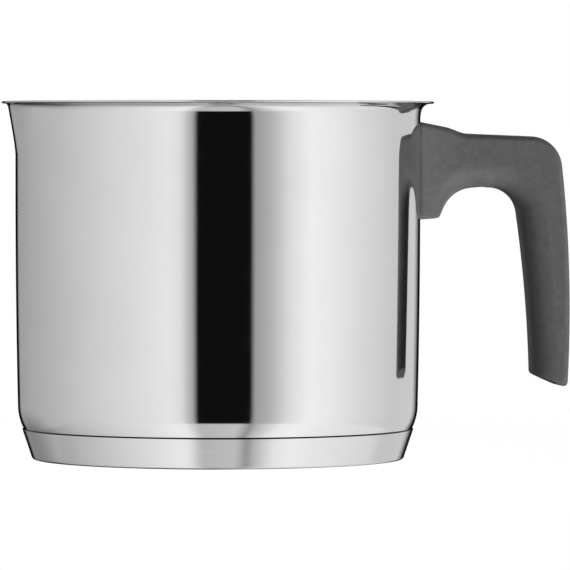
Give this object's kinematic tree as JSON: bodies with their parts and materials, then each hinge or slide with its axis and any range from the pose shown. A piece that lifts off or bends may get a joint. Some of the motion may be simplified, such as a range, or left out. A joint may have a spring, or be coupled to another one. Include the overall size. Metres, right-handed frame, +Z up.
{
  "type": "melting pot",
  "caption": "Round stainless melting pot with flared pouring rim, thick capsule base and open hanging plastic handle, for melting and pouring wax.",
  "frame": {"origin": "centre of the flat underside of the base, on the vessel's axis", "axes": "+Z up along the vessel's axis, +X towards the handle, -X towards the pouring lip"},
  "size_m": [0.1992, 0.151, 0.1248],
  "materials": {
    "polished_steel": "mirror polished",
    "cap_steel": "fine polished",
    "core_aluminium": "plain",
    "bracket_steel": "satin",
    "fastener_steel": "satin",
    "grip_plastic": "fine matt texture"
  },
  "bodies": {
    "root": {"pot_shell": "polished_steel", "base_core": "core_aluminium", "base_cap": "cap_steel", "handle_bracket": "bracket_steel", "bracket_nut": "fastener_steel", "handle_grip": "grip_plastic", "lock_washer": "fastener_steel", "handle_screw": "fastener_steel"}
  },
  "joints": []
}
